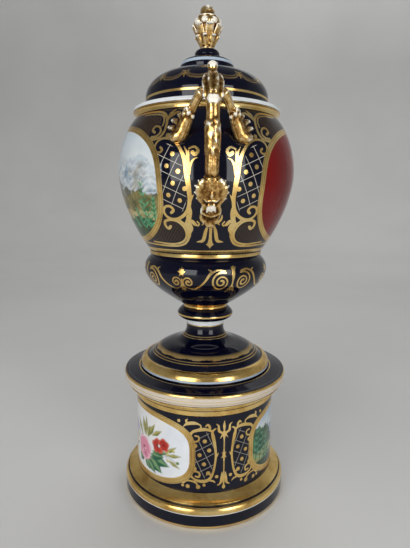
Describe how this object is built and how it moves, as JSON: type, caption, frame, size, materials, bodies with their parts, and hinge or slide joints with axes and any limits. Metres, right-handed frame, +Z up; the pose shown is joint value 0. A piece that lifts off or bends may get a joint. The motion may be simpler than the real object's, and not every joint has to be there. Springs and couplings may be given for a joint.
{
  "type": "lidded porcelain vase",
  "caption": "Tall covered porcelain vase with upright handles, domed lid and finial, standing on a round drum plinth.",
  "frame": {"origin": "centre of the plinth's underside", "axes": "+Z up along the vase's axis; the two handles stand on the Y axis, the painted panels face +X and -X"},
  "size_m": [0.1666, 0.2244, 0.47],
  "materials": {
    "cobalt_glaze": "glossy cobalt blue glaze with burnished gilding and painted panels",
    "gilding": "burnished gold over glazed relief, worn pale on the high points",
    "white_glaze": "glossy white glaze"
  },
  "bodies": {
    "root": {"plinth": "cobalt_glaze", "socle": "cobalt_glaze", "vase_body": "cobalt_glaze", "lid": "cobalt_glaze"}
  },
  "joints": []
}
